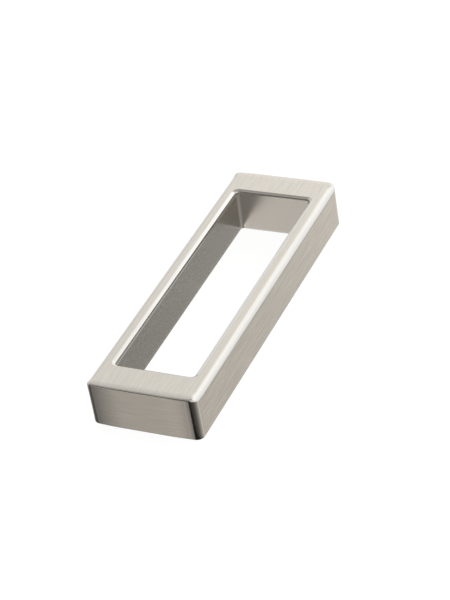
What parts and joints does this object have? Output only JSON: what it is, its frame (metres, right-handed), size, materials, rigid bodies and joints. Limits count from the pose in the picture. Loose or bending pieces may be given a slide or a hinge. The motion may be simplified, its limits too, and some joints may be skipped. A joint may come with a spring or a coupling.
{
  "type": "furniture handle",
  "caption": "Rectangular frame handle for a drawer or cabinet front, in brushed metal, with an undercut finger opening and tapped screw holes in its flat back.",
  "frame": {"origin": "middle of the flat mounting face at the back", "axes": "+X along the handle, +Y across it, +Z away from the drawer front, from the mounting face to the front face"},
  "size_m": [0.14, 0.044, 0.0185],
  "materials": {
    "brushed_nickel": "brushed along the handle on the front and the long sides and across on the ends, smooth on the round edges"
  },
  "bodies": {
    "root": {"handle_frame": "brushed_nickel"}
  },
  "joints": []
}
